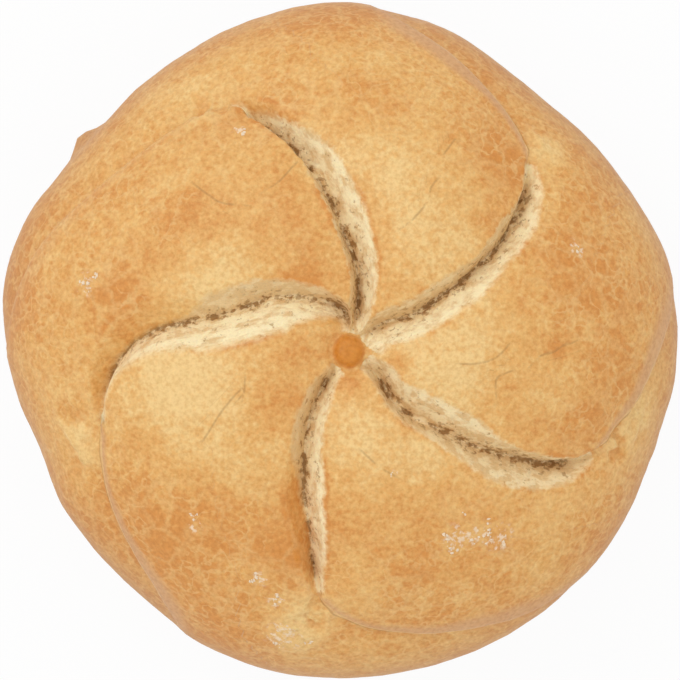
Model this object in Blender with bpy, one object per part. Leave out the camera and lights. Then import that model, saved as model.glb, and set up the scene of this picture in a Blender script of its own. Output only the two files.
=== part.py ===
"""A round bread roll with five curved cuts that wind out from a small hub.

The roll is one piece: a low dome on a flat base. Each cut starts at the hub, bends
anticlockwise on its way out, opens into a valley between two lips of crust, and closes on the
shoulder into a seam where one petal of dough lies over the flank of the next.

Run it with: blender --background --python part.py
"""

import bmesh
import bpy
import numpy as np

MM = 0.001

# Driving sizes of the whole roll.
HEIGHT = 49.5 * MM  # of the plain dome, before its relief lowers the top by about 1.5 mm
WAIST_RADIUS = 50 * MM
WAIST_HEIGHT = 21 * MM
BASE_RADIUS = 36 * MM
SHOULDER_FULLNESS = 2.4  # 2 makes the dome an ellipse in section, more makes fuller shoulders

# The outline seen from above: bearings anticlockwise from +X, and its distance from the middle in
# millimetres.
OUTLINE = (
    (0, 50.3), (14, 50.3), (22, 49.4), (32, 48.3), (48, 47.1), (60, 47.8), (70, 48.9), (80, 49.4),
    (90, 50.2), (105, 49.5), (120, 48.5), (135, 47.7), (150, 48.5), (157, 49.7), (168, 50.6),
    (178, 50.1), (190, 48.6), (200, 47.5), (210, 48.1), (218, 48.0), (235, 48.4), (250, 49.8),
    (270, 50.4), (285, 50.6), (305, 50.6), (325, 50.3), (343, 49.7), (353, 50.3),
)  # fmt: skip

# The hub is a small round button of crust, a little off the middle, in a shallow dip.
HUB_AT = (1.4 * MM, -1.7 * MM)
HUB_RADIUS = 2.1 * MM
HUB_RISE = 0.8 * MM
HUB_GROOVE = 0.5 * MM
DIP_DEPTH = 2.6 * MM
DIP_RADIUS = 9 * MM

# Where each cut lies: its bearing at each distance from the hub, measured down the skin.
CUT_STATIONS = tuple(distance * MM for distance in (4, 10, 18, 30, 38, 42, 46, 54, 62))
CUT_BEARINGS = {
    "right": (42, 29, 29, 33.2, 39.0, 43.5, 49, 74, 84),
    "top": (76, 80, 91.5, 102.7, 111.0, 116.5, 142, 170, 182),
    "left": (88, 128, 162.3, 176.5, 188.0, 202, 214, 234, 241),
    "bottom": (234, 240, 250, 260, 264, 269, 277, 300, 316),
    "low_right": (321, 312, 318, 325.3, 329.6, 333.5, 341.5, 360, 369),
}

# How far from each cut's own line its lips lie, on its anticlockwise and its clockwise side, in
# millimetres at these distances from the hub.
LIP_STATIONS = tuple(distance * MM for distance in (4, 8, 12, 16, 20, 24, 28, 32, 36, 40, 44))
LIP_WIDTHS = {
    "right": (
        (1.2, 1.9, 2.0, 2.1, 1.8, 1.4, 1.9, 2.0, 1.4, 0.9, 0.4),
        (3.4, 3.4, 3.3, 3.3, 3.5, 3.0, 2.4, 2.6, 2.4, 1.6, 0.6),
    ),
    "top": (
        (1.2, 1.3, 1.2, 1.2, 1.0, 0.9, 0.8, 0.8, 0.8, 0.7, 0.3),
        (1.8, 2.3, 2.8, 3.5, 4.1, 4.1, 4.2, 3.8, 3.0, 2.0, 0.5),
    ),
    "left": (
        (3.0, 4.5, 5.4, 5.4, 4.8, 4.4, 3.6, 3.0, 2.2, 0.9, 0.3),
        (0.8, 1.2, 2.0, 3.2, 3.8, 4.0, 4.2, 4.0, 2.6, 1.0, 0.3),
    ),
    "bottom": (
        (1.3, 2.1, 2.3, 2.6, 3.0, 3.0, 2.7, 2.0, 0.9, 0.3, 0.2),
        (1.0, 1.6, 1.9, 2.2, 2.6, 2.6, 2.3, 1.6, 0.8, 0.3, 0.2),
    ),
    "low_right": (
        (1.8, 2.9, 3.9, 4.1, 4.2, 3.9, 2.5, 1.9, 1.8, 1.6, 0.6),
        (0.9, 1.1, 1.2, 1.5, 1.8, 2.4, 3.5, 3.7, 3.4, 2.4, 0.8),
    ),
}
VALLEY_DEPTH = 3.2 * MM  # from the lips down to the bottom of an open cut
VALLEY_ROUNDING = 1.4  # 1 makes straight walls, more makes walls that round over at the lips
VALLEY_FLOOR = 0.9 * MM  # how widely the bottom of the valley is rounded
OPEN_FROM, OPEN_TO = 1.5 * MM, 6 * MM

# Where each cut starts to close and is shut, in millimetres from the hub.
CLOSING = {
    "right": (38, 44),
    "top": (38, 43),
    "left": (36, 40.5),
    "bottom": (33, 38.5),
    "low_right": (40, 45),
}

# Each petal swells between its cuts, and past an open cut's end it lies over the next petal.
PETAL_SWELL = 1.5 * MM
PETAL_SWELL_REACH = 6 * MM
SWELL_FADES_FROM, SWELL_FADES_TO = 44 * MM, 62 * MM
SEAM_STEP = 0.9 * MM
SEAM_REACH = 4 * MM
SEAM_EDGE = 0.9 * MM
SEAM_FADES_FROM, SEAM_FADES_TO = 54 * MM, 70 * MM

# A small knob of dough low on one flank.
KNOB_BEARING = 142
KNOB_FROM_HUB = 66 * MM
KNOB_RISE = 1.6 * MM
KNOB_RADIUS = 2.6 * MM

# Mesh density: rings of points run round the hub, and columns of points follow the cuts.
COLUMNS_PER_PETAL = 16
BUNCHING = 0.78  # how much closer together the columns are beside a cut
FOLLOW_UP_TO = 41 * MM  # past this distance from the hub the columns run straight down the skin
HUB_RINGS, TOP_RINGS, FLANK_RINGS = 6, 24, 19

CRUST_COLOUR = (0.73, 0.42, 0.16, 1.0)
CRUST_ROUGHNESS = 0.62


def clear_scene():
    for item in list(bpy.data.objects):
        bpy.data.objects.remove(item, do_unlink=True)


def smooth_curve(at, knots, values):
    """A smooth curve through (knots, values): cubic pieces whose slope at a knot is that of the
    line between its two neighbours. Past either end the curve stays level."""
    knots, values = np.asarray(knots, float), np.asarray(values, float)
    slopes = np.zeros(len(knots))
    slopes[1:-1] = (values[2:] - values[:-2]) / (knots[2:] - knots[:-2])
    at = np.clip(at, knots[0], knots[-1])
    i = np.clip(np.searchsorted(knots, at, side="right") - 1, 0, len(knots) - 2)
    span = knots[i + 1] - knots[i]
    t = (at - knots[i]) / span
    start = (2 * t**3 - 3 * t**2 + 1) * values[i] + (t**3 - 2 * t**2 + t) * span * slopes[i]
    end = (3 * t**2 - 2 * t**3) * values[i + 1] + (t**3 - t**2) * span * slopes[i + 1]
    return start + end


def ease(at, start, end):
    """0 before start, 1 after end, and a smooth step between them."""
    t = np.clip((at - start) / (end - start), 0, 1)
    return t * t * (3 - 2 * t)


def outline_radius(bearing):
    """The outline's distance from the middle, as a smooth closed curve over the bearing in degrees."""
    bearings, radii = np.array(OUTLINE, float).T
    knots = np.concatenate([bearings - 360, bearings, bearings + 360])
    return smooth_curve(np.mod(bearing, 360), knots, np.tile(radii * MM, 3))


def profile():
    """The section of the roll from hub to base edge: radius and height against distance down the
    skin. The dome obeys (r/R)^n + (h/H)^2 = 1 above the waist, and the underside is a quarter of
    an ellipse from the waist in to the base."""
    angle = np.linspace(0, np.pi / 2, 400)
    dome_r = WAIST_RADIUS * np.sin(angle) ** (2 / SHOULDER_FULLNESS)
    dome_z = WAIST_HEIGHT + (HEIGHT - WAIST_HEIGHT) * np.cos(angle)
    under_r = BASE_RADIUS + (WAIST_RADIUS - BASE_RADIUS) * np.cos(angle[1:])
    under_z = WAIST_HEIGHT * (1 - np.sin(angle[1:]))
    radius = np.concatenate([dome_r, under_r])
    height = np.concatenate([dome_z, under_z])
    along = np.concatenate([[0], np.cumsum(np.hypot(np.diff(radius), np.diff(height)))])
    return along, radius, height


def plan_position(radius, bearing):
    """Places a ring in plan: the middle of the rings moves from the hub at the top to the
    outline's middle at the waist, and each ring takes on the outline's shape as it grows."""
    share = (radius / WAIST_RADIUS)[..., None]
    turn = np.radians(bearing)
    direction = np.stack([np.cos(turn), np.sin(turn)], axis=-1)
    rim = direction * outline_radius(bearing)[..., None]
    blend = share**2
    round_part = direction * radius[..., None]
    return np.array(HUB_AT) * (1 - share) + round_part * (1 - blend) + rim * share * blend


def skin(along, bearing):
    """Points and outward normals of the plain roll, before cuts, at these distances and bearings."""
    table_s, table_r, table_z = profile()
    radius = np.interp(along, table_s, table_r)
    height = np.interp(along, table_s, table_z)
    step = 0.2 * MM
    before, after = np.clip(along - step, 0, None), np.clip(along + step, None, table_s[-1])
    rise = np.interp(after, table_s, table_z) - np.interp(before, table_s, table_z)
    run = np.interp(after, table_s, table_r) - np.interp(before, table_s, table_r)
    turn = np.radians(bearing)
    points = np.concatenate([plan_position(radius, bearing), height[..., None]], axis=-1)
    normals = np.stack([-rise * np.cos(turn), -rise * np.sin(turn), run], axis=-1)
    return points, normals / np.linalg.norm(normals, axis=-1, keepdims=True)


def cut_bearing(name, along):
    return smooth_curve(along, CUT_STATIONS, CUT_BEARINGS[name])


def distance_to_cut(name, points, along, bearing):
    """Signed distance from each point to the cut's line, measured square to the line and above 0
    on its anticlockwise side, and the distance from the hub of the line's nearest point."""
    line_s = np.linspace(1 * MM, 80 * MM, 160)
    line, _ = skin(line_s, cut_bearing(name, line_s))
    tangent = np.gradient(line, axis=0)
    tangent /= np.linalg.norm(tangent, axis=1, keepdims=True)
    nearest = np.linalg.norm(points[..., None, :] - line, axis=-1).argmin(axis=-1)
    offset = points - line[nearest]
    lengthwise = (offset * tangent[nearest]).sum(axis=-1)
    within = (nearest > 0) & (nearest < len(line) - 1)
    offset = offset - (lengthwise * within)[..., None] * tangent[nearest]
    side = np.mod(bearing - cut_bearing(name, along) + 180, 360) - 180
    return np.linalg.norm(offset, axis=-1) * np.sign(side), line_s[nearest]


def rounded(gap):
    """The size of the gap, with its sharp corner at 0 rounded: sqrt(gap^2 + r^2) - r."""
    return np.sqrt(gap**2 + VALLEY_FLOOR**2) - VALLEY_FLOOR


def relief(points, along, bearing):
    """How far the surface stands out from the plain roll. The cuts are valleys, whose walls follow
    (1 - d/w)^p between line and lip, with both distances rounded near 0, and the deepest valley
    wins where two meet."""
    valley = np.zeros(along.shape)
    swell = np.zeros(along.shape)
    seam = np.zeros(along.shape)
    for name in CUT_BEARINGS:
        gap, at = distance_to_cut(name, points, along, bearing)
        after, before = LIP_WIDTHS[name]
        widths = np.interp(at, LIP_STATIONS, before)
        widths[gap > 0] = np.interp(at, LIP_STATIONS, after)[gap > 0]
        widths = widths * MM
        closing_from, closing_to = (distance * MM for distance in CLOSING[name])
        wall = np.clip(1 - rounded(gap) / rounded(widths), 0, 1) ** VALLEY_ROUNDING
        depth = ease(at, OPEN_FROM, OPEN_TO) * (1 - ease(at, closing_from, closing_to))
        valley = np.maximum(valley, VALLEY_DEPTH * depth * wall)
        beyond = np.clip(np.abs(gap) - widths, 0, None)
        swollen = PETAL_SWELL * (1 - ease(at, SWELL_FADES_FROM, SWELL_FADES_TO))
        swell = np.maximum(swell, swollen * np.exp(-beyond / PETAL_SWELL_REACH))
        fading = 1 - ease(at, SEAM_FADES_FROM, SEAM_FADES_TO)
        closed = ease(at, closing_from, closing_to) * fading
        seam += np.tanh(gap / SEAM_EDGE) * SEAM_STEP / 2 * closed * np.exp(-np.abs(gap) / SEAM_REACH)
    dip = DIP_DEPTH * np.exp(-((along / DIP_RADIUS) ** 2))
    button = HUB_RISE * (1 - ease(along, 0.6 * HUB_RADIUS, 1.1 * HUB_RADIUS))
    groove = HUB_GROOVE * np.exp(-(((along - 1.25 * HUB_RADIUS) / (0.35 * HUB_RADIUS)) ** 2))
    turn = np.mod(bearing - KNOB_BEARING + 180, 360) - 180
    knob_gap = np.hypot(np.radians(turn) * WAIST_RADIUS, along - KNOB_FROM_HUB)
    knob = KNOB_RISE * np.exp(-((knob_gap / KNOB_RADIUS) ** 2))
    return seam - valley - swell - dip + button - groove + knob


def ring_distances():
    """Distances from the hub, down the skin, at which the rings of points lie."""
    base_edge = profile()[0][-1]
    hub = np.linspace(0.8 * MM, 4.8 * MM, HUB_RINGS)
    top = np.linspace(6 * MM, 45 * MM, TOP_RINGS)
    flank = np.linspace(47 * MM, base_edge, FLANK_RINGS)
    return np.concatenate([hub, top, flank])


def column_bearings(along):
    """Bearings of the columns on one ring: they run from cut to cut and crowd towards the cuts."""
    along = min(along, FOLLOW_UP_TO)
    cuts = np.array([cut_bearing(name, along) for name in CUT_BEARINGS])
    ends = np.append(cuts[1:], cuts[0] + 360)
    share = np.arange(COLUMNS_PER_PETAL) / COLUMNS_PER_PETAL
    share = share - BUNCHING * np.sin(2 * np.pi * share) / (2 * np.pi)
    return (cuts[:, None] + (ends - cuts)[:, None] * share).ravel()


def roll_points():
    """All rings of points, one row per ring, the last of them flat on z = 0. The middle of the box
    round them lies over the origin."""
    distances = ring_distances()
    bearing = np.array([column_bearings(distance) for distance in distances])
    along = np.repeat(distances[:, None], bearing.shape[1], axis=1)
    points, normals = skin(along, bearing)
    points = points + normals * relief(points, along, bearing)[..., None]
    points[-1, :, 2] = 0
    flat = points[..., :2]
    points[..., :2] -= (flat.max(axis=(0, 1)) + flat.min(axis=(0, 1))) / 2
    return points


def crust_material():
    material = bpy.data.materials.new("crust")
    material.use_nodes = True
    shader = material.node_tree.nodes["Principled BSDF"]
    shader.inputs["Base Color"].default_value = CRUST_COLOUR
    shader.inputs["Roughness"].default_value = CRUST_ROUGHNESS
    shader.inputs["Metallic"].default_value = 0.0
    return material


def make_bread_roll():
    """One closed body: quads between the rings, a fan of triangles over the hub, one flat base."""
    points = roll_points()
    body = bmesh.new()
    rings = [[body.verts.new(point) for point in ring] for ring in points]
    count = len(rings[0])
    for upper, lower in zip(rings, rings[1:]):
        for i in range(count):
            j = (i + 1) % count
            body.faces.new((upper[i], lower[i], lower[j], upper[j]))
    crown = points[0].mean(axis=0)
    pole = body.verts.new(crown)
    for i in range(count):
        body.faces.new((pole, rings[0][i], rings[0][(i + 1) % count]))
    body.faces.new(rings[-1])
    bmesh.ops.recalc_face_normals(body, faces=body.faces)
    mesh = bpy.data.meshes.new("bread_roll")
    body.to_mesh(mesh)
    body.free()
    mesh.materials.append(crust_material())
    mesh.shade_smooth()
    roll = bpy.data.objects.new("bread_roll", mesh)
    bpy.context.scene.collection.objects.link(roll)
    return roll


clear_scene()
make_bread_roll()
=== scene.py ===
"""A round bread roll with five curved cuts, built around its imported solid.

The crust is one closed skin on a grid of two parameters: the distance down the skin from the hub,
and the bearing round it. The grid's columns follow the cuts, and the relief on it is worked out as
whole arrays: cuts with torn crumb walls, swollen petals, seams, lumps, folds, pores and hairline cracks.
"""

import math
from types import SimpleNamespace

import bpy
import numpy as np
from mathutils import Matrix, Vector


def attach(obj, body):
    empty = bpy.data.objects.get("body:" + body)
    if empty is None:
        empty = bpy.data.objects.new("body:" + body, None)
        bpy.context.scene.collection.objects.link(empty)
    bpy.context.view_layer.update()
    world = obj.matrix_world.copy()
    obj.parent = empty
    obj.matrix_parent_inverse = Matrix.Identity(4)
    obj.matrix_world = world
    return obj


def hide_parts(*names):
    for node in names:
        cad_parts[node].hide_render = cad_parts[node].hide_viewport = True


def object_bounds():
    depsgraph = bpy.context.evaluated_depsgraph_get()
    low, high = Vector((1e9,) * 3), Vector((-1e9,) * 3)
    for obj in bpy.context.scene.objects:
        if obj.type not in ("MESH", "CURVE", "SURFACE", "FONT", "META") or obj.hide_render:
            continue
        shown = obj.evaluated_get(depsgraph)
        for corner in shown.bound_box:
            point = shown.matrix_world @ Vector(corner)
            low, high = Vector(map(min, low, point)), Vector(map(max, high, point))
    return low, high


bl_info = {
    "name": "Bread Roll",
    "version": (1, 0, 0),
    "blender": (4, 5, 0),
    "location": "3D View > Sidebar > Bread Roll",
    "description": "Makes a crusty round roll with curved cuts, flour specks and a plain stage",
    "category": "Add Mesh",
}

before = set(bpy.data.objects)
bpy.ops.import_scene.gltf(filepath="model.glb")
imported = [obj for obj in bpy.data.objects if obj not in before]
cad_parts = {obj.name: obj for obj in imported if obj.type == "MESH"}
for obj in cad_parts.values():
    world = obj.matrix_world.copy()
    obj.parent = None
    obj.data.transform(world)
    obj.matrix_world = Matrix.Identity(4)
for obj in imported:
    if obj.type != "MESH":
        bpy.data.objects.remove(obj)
CAD_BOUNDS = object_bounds()
CAD_NODE = "bread_roll"

MM = 0.001


def linear(red, green, blue):
    """A colour given as everyday 0 to 255 values, as the linear values that shaders use."""
    shares = np.array([red, green, blue]) / 255
    return tuple(np.where(shares <= 0.04045, shares / 12.92, ((shares + 0.055) / 1.055) ** 2.4))


# --- The form, in the solid's own sizes -----------------------------------------------------

HEIGHT = 49.5 * MM
WAIST_RADIUS = 50 * MM
WAIST_HEIGHT = 21 * MM
BASE_RADIUS = 36 * MM
SHOULDER_FULLNESS = 2.4

# The outline seen from above: bearings anticlockwise from +X, and its distance from the middle in
# millimetres.
OUTLINE = (
    (0, 50.3), (14, 50.3), (22, 49.4), (32, 48.3), (48, 47.1), (60, 47.8), (70, 48.9), (80, 49.4),
    (90, 50.2), (105, 49.5), (120, 48.5), (135, 47.7), (150, 48.5), (157, 49.7), (168, 50.6),
    (178, 50.1), (190, 48.6), (200, 47.5), (210, 48.1), (218, 48.0), (235, 48.4), (250, 49.8),
    (270, 50.4), (285, 50.6), (305, 50.6), (325, 50.3), (343, 49.7), (353, 50.3),
)  # fmt: skip

HUB_AT = (1.4 * MM, -1.7 * MM)
HUB_RADIUS = 2.1 * MM
HUB_GROOVE = 0.45 * MM
DIP_RADIUS = 9 * MM

# Bearings of each cut at set distances from the hub, measured down the skin.
CUT_STATIONS = tuple(distance * MM for distance in (4, 10, 18, 30, 38, 42, 46, 54, 62))
CUT_BEARINGS = {
    "right": (42, 29, 29, 33.2, 39.0, 43.5, 49, 74, 84),
    "top": (76, 80, 91.5, 102.7, 111.0, 116.5, 142, 170, 182),
    "left": (88, 128, 162.3, 176.5, 188.0, 202, 214, 234, 241),
    "bottom": (234, 240, 250, 260, 264, 269, 277, 300, 316),
    "low_right": (321, 312, 318, 325.3, 329.6, 333.5, 341.5, 360, 369),
}

# How far from each cut's own line its lips lie, on its anticlockwise and its clockwise side, and
# how far the torn crumb reaches on each side, in millimetres at these distances from the hub.
LIP_STATIONS = tuple(distance * MM for distance in (4, 8, 12, 16, 20, 24, 28, 32, 36, 40, 44))
LIP_WIDTHS = {
    "right": (
        (1.2, 1.9, 2.0, 2.1, 1.8, 1.4, 1.9, 2.0, 1.4, 0.9, 0.4),
        (3.4, 3.4, 3.3, 3.3, 3.5, 3.0, 2.4, 2.6, 2.4, 1.6, 0.6),
    ),
    "top": (
        (1.2, 1.3, 1.2, 1.2, 1.0, 0.9, 0.8, 0.8, 0.8, 0.7, 0.3),
        (1.8, 2.3, 2.8, 3.5, 4.1, 4.1, 4.2, 3.8, 3.0, 2.0, 0.5),
    ),
    "left": (
        (3.0, 4.5, 5.4, 5.4, 4.8, 4.4, 3.6, 3.1, 2.6, 1.6, 0.4),
        (0.8, 1.2, 2.0, 3.2, 3.8, 4.0, 4.2, 4.0, 2.6, 1.0, 0.3),
    ),
    "bottom": (
        (1.3, 2.1, 2.3, 2.6, 3.0, 3.0, 2.8, 2.4, 1.7, 0.7, 0.2),
        (1.0, 1.6, 1.9, 2.2, 2.6, 2.6, 2.3, 1.6, 0.8, 0.3, 0.2),
    ),
    "low_right": (
        (1.8, 2.9, 3.9, 4.1, 4.2, 3.9, 2.5, 1.9, 1.8, 1.6, 0.6),
        (0.9, 1.1, 1.2, 1.5, 1.8, 2.4, 3.5, 3.7, 3.4, 2.4, 0.8),
    ),
}
CRUMB_WIDTHS = {
    "right": LIP_WIDTHS["right"],
    "top": (LIP_WIDTHS["top"][0], (1.8, 2.3, 2.8, 3.5, 4.1, 4.1, 4.1, 3.0, 1.8, 0.8, 0.2)),
    "left": (
        (0.8, 2.6, 5.2, 5.4, 4.8, 4.4, 3.6, 3.1, 2.6, 1.5, 0.2),
        (0.8, 1.2, 2.0, 3.2, 3.0, 0.9, 0.5, 0.3, 0.3, 0.2, 0.1),
    ),
    "bottom": (LIP_WIDTHS["bottom"][0], (1.0, 1.6, 1.9, 2.0, 1.0, 0.4, 0.3, 0.2, 0.2, 0.1, 0.1)),
    "low_right": LIP_WIDTHS["low_right"],
}
# How gradually crumb turns to crust, on the same two sides.
CRUMB_SOFTNESS = {
    "right": (0.6, 1.1), "top": (0.5, 0.9), "left": (1.8, 0.8), "bottom": (0.9, 0.9),
    "low_right": (0.8, 0.9),
}  # fmt: skip
# Painted shade on each side's wall, as a share of tan crumb: walls that face away from the light are tan.
WALL_SHADE_TAN = {
    "right": (0.60, -0.10), "top": (0.60, 0.05), "left": (-0.05, 0.65), "bottom": (0.0, 0.75),
    "low_right": (0.30, 0.35),
}  # fmt: skip
# How much more of each cut's outer half is torn open at the bottom.
TEAR_COVER = {"right": 0.1, "top": 0.0, "left": 0.9, "bottom": 0.0, "low_right": 0.7}
TEAR_COVER_FROM, TEAR_COVER_TO = 18 * MM, 25 * MM
VALLEY_ROUNDING = 1.4
VALLEY_FLOOR = 0.9 * MM
OPEN_FROM, OPEN_TO = 1.5 * MM, 6 * MM
# Between which distances from the hub, in millimetres, each cut closes.
CLOSING = {
    "right": (38, 44), "top": (38, 43), "left": (38, 42), "bottom": (35, 40), "low_right": (40, 45),
}  # fmt: skip
FAR_FROM_CUTS = 50 * MM
FISSURE_WIDTH = 0.45 * MM
# How clearly the seam past each cut's end shows.
SEAM_SHOW = {"right": 0.9, "top": 0.2, "left": 1.0, "bottom": 0.9, "low_right": 0.9}
SEAM_EDGE = 0.45 * MM
SEAM_REACH = 4 * MM
SEAM_FADES_FROM, SEAM_FADES_TO = 54 * MM, 70 * MM
SWELL_REACH = 6 * MM
SWELL_FADES_FROM, SWELL_FADES_TO = 44 * MM, 62 * MM

KNOB_BEARING = 142
KNOB_FROM_HUB = 66 * MM
KNOB_RISE = 1.6 * MM
KNOB_RADIUS = 2.6 * MM

# Where the oven browned the crust more or less: bearing, mm from the hub, radius in mm, strength.
BROWNED_SPOTS = (
    (48, 38, 4.5, 0.50), (39, 29, 3.5, 0.35), (78, 37, 3.5, 0.25), (104, 36, 3.0, 0.30),
    (140, 31, 3.5, 0.20), (118, 11, 3.5, 0.25), (167, 34, 4.0, 0.30), (217, 13, 5.5, 0.28),
    (184, 7, 2.5, 0.35), (252, 23, 3.5, 0.28), (257, 32, 4.5, 0.35), (21, 35, 6.0, 0.25),
    (336, 31, 4.0, 0.10), (345, 7.5, 2.2, 0.40), (54, 11, 1.8, 0.20), (271, 5, 2.2, 0.35),
    (316, 25, 2.5, 0.20), (233, 38, 11.0, 0.36), (290, 35, 7.0, 0.22), (355, 42, 6.0, 0.15),
    (172, 60, 10.0, 0.50), (90, 54, 8.0, 0.30), (62, 54, 7.0, 0.35), (226, 46, 6.0, 0.20),
    (300, 46, 6.0, 0.25), (343, 37, 3.0, 0.20), (14, 38, 8.0, 0.22), (215, 57, 8.0, 0.35),
    (250, 57, 9.0, 0.35), (359, 31.5, 1.2, 0.45),
)  # fmt: skip
# How much more browned the outer half is.
OUTER_BROWNING = 0.12
PALE_SPOTS = (
    (193, 22, 9.0, 0.60), (58, 20, 6.0, 0.40), (5, 14, 7.0, 0.45), (278, 13, 6.0, 0.45),
    (200, 45, 3.5, 0.50), (346, 51, 4.0, 0.40), (262, 44, 4.0, 0.60), (122, 47, 6.0, 0.35),
    (155, 20, 6.0, 0.20), (75, 28, 6.0, 0.30), (308, 20, 5.0, 0.20), (42, 47, 3.0, 0.45),
    (336, 20, 7.0, 0.20),
)  # fmt: skip

# Crumpled crust past the ends of the cuts: bearing, mm from the hub, radius in mm, strength.
CRUMPLED_SPOTS = (
    (196, 45, 3.6, 1.0), (204, 47, 3.2, 0.9), (264, 41, 4.0, 1.0), (262, 47, 4.0, 0.8),
    (340, 48, 3.6, 1.0), (347, 50, 3.6, 0.8), (45, 47, 3.0, 0.9), (120, 42, 4.5, 0.7),
)  # fmt: skip
FOLD_HEIGHT = 0.75 * MM

# Hairline cracks in the crust, as runs of (bearing, mm from the hub).
HAIRLINES = (
    ((61, 35.5), (62, 32)),
    ((358.5, 30.2), (359.5, 32.6), (361, 35.0)),
    ((60, 29), (61, 26.5), (60, 24.5), (62, 21), (66, 18.5)),
    ((353, 27), (357, 29), (358, 31), (361, 33.5)),
    ((352, 16), (353, 19.3), (356, 22), (361, 24)),
    ((341, 23.4), (348, 22.5), (352, 25)),
    ((195, 15), (201, 15.6), (208, 17)),
    ((201, 16), (211, 22.5), (214, 25)),
    ((133, 33.5), (132, 29.5), (130, 27.5), (123, 24.5)),
    ((104, 28), (111, 26), (119, 25.5)),
    ((277, 14.5), (286, 17.5), (292, 20.5)),
)
HAIRLINE_REACH = 1.5 * MM
HAIRLINE_DEPTH = 0.05 * MM

# Clusters of flour specks: bearing, mm from the hub, spread in mm, number of specks.
FLOUR_CLUSTERS = (
    (167, 39.4, 1.1, 12), (231, 35.2, 0.8, 6), (251, 37.6, 0.8, 12), (256, 40.6, 0.9, 9),
    (259, 47.0, 1.9, 18), (300, 32.8, 1.4, 14), (305, 33.9, 1.3, 12), (309, 37.3, 1.5, 14),
    (293, 19.5, 0.5, 3), (116, 36.3, 0.7, 4), (22, 38.5, 0.9, 4),
)  # fmt: skip
CLUMP_SPREAD = 0.35 * MM

# The stage: the floor's half width, how white the camera sees it, and the large lamp.
FLOOR_HALF = 3.0
FLOOR_GLOW = 0.93
KEY_PLACE = (-0.46, 0.42, 0.85)
KEY_WIDTH = 0.45

# Painted shade: what the crust's colour is multiplied by in the hollows of its grain.
HOLLOW_SHADE = (0.93, 0.80, 0.64)

# Grid density.
COLUMNS_PER_PETAL = 72
BUNCHING = 0.70
FOLLOW_UP_TO = 41 * MM
FIRST_RING = 0.35 * MM
RING_STEPS = ((44 * MM, 0.30 * MM), (63 * MM, 0.50 * MM), (1, 0.72 * MM))
BASE_RINGS = 22

# How finely the section, each cut's line and each hairline crack are followed.
SECTION_STEPS = 600
CUT_LINE_FROM, CUT_LINE_TO = 1 * MM, 84 * MM
CUT_LINE_POINTS = 333
HAIRLINE_POINTS = 80


def length_setting(name, description, default):
    """A length in metres that a user may change."""
    return bpy.props.FloatProperty(
        name=name, description=description, default=default, min=0, subtype="DISTANCE", unit="LENGTH")


def colour_setting(name, description, *everyday):
    """A colour that a user may change, its default given as everyday 0 to 255 values."""
    return bpy.props.FloatVectorProperty(
        name=name, description=description, default=linear(*everyday), min=0, max=1, subtype="COLOR")


class RollSizes(bpy.types.PropertyGroup):
    """Sizes of the roll's relief and of what lies on it."""

    valley_depth: length_setting(
        "Cut depth", "From the lips down to the bottom of an open cut", 3.2 * MM)
    fissure_depth: length_setting(
        "Fissure depth", "Depth of the narrow tear at the bottom of each cut", 0.45 * MM)
    crust_thickness: length_setting(
        "Crust thickness", "Step from the crust's lip down to the torn crumb", 0.18 * MM)
    petal_swell: length_setting(
        "Petal swell", "How far each petal swells above its lips", 1.5 * MM)
    seam_step: length_setting(
        "Seam step", "Height of a petal's edge over the next petal's flank", 0.9 * MM)
    lump_height: length_setting(
        "Lump height", "Height of the broad lumps of the crust", 0.45 * MM)
    pit_depth: length_setting(
        "Pit depth", "Depth of the pits in the torn crumb", 0.28 * MM)
    speck_radius: length_setting(
        "Speck radius", "Mean radius of a speck of flour", 0.22 * MM)
    hub_rise: length_setting(
        "Hub rise", "Height of the round hub in the middle", 0.8 * MM)
    dip_depth: length_setting(
        "Dip depth", "Depth of the dip round the hub", 2.6 * MM)


class RollColours(bpy.types.PropertyGroup):
    """Colours of crust, crumb and flour."""

    crust_pale: colour_setting(
        "Pale crust", "Crust that the oven has only just coloured", 240, 203, 138)
    crust_gold: colour_setting(
        "Golden crust", "Most of the crust", 231, 179, 106)
    crust_brown: colour_setting(
        "Browned crust", "Crust on raised edges and toasted spots", 217, 148, 74)
    crust_dark: colour_setting(
        "Dark crust", "The hub and the darkest toasted edges", 212, 136, 48)
    crumb_light: colour_setting(
        "Light crumb", "Torn crumb on the walls of the cuts", 255, 236, 190)
    # Tan crumb: real tan streaks, and also painted shade on the walls that face away from the light and near
    # the fissures.
    crumb_tan_and_wall_shade: colour_setting(
        "Tan crumb", "Drier and deeper crumb", 229, 194, 140)
    # Deep crumb: painted shade in the fissures, pores and under the seams' edges, partly browner crumb deep
    # in the tears. It is also the colour of the hairline cracks.
    crumb_deep_and_shade: colour_setting(
        "Deep crumb", "Crumb at the bottom of the tears and pores", 164, 120, 68)
    # Painted shade: a darker, duller crust colour laid low on the flanks, where they turn from the light.
    flank_shade: colour_setting(
        "Flank", "Duller crust low on the flanks", 199, 140, 83)
    seam_band: colour_setting(
        "Seam band", "Duller strip of dough that shows beside a closed seam", 213, 163, 115)
    base: colour_setting(
        "Base", "The flat underside", 200, 146, 84)
    flour: colour_setting(
        "Flour", "Specks of flour", 244, 222, 192)


class StageSettings(bpy.types.PropertyGroup):
    """Camera, lamps and floor."""

    camera_height: bpy.props.FloatProperty(
        name="Camera height", description="Height of the camera above the floor",
        default=0.70, min=0.1, subtype="DISTANCE", unit="LENGTH")
    camera_lens: bpy.props.FloatProperty(
        name="Lens", description="Focal length in millimetres on a 36 mm sensor",
        default=241.9, min=10)
    key_power: bpy.props.FloatProperty(
        name="Key power", description="Power of the large lamp at the upper left, in watts",
        default=1.72, min=0)
    fill_strength: bpy.props.FloatProperty(
        name="Fill", description="Strength of the even white light from all round",
        default=0.87, min=0)


# --- Noise on whole arrays ------------------------------------------------------------------


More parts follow.
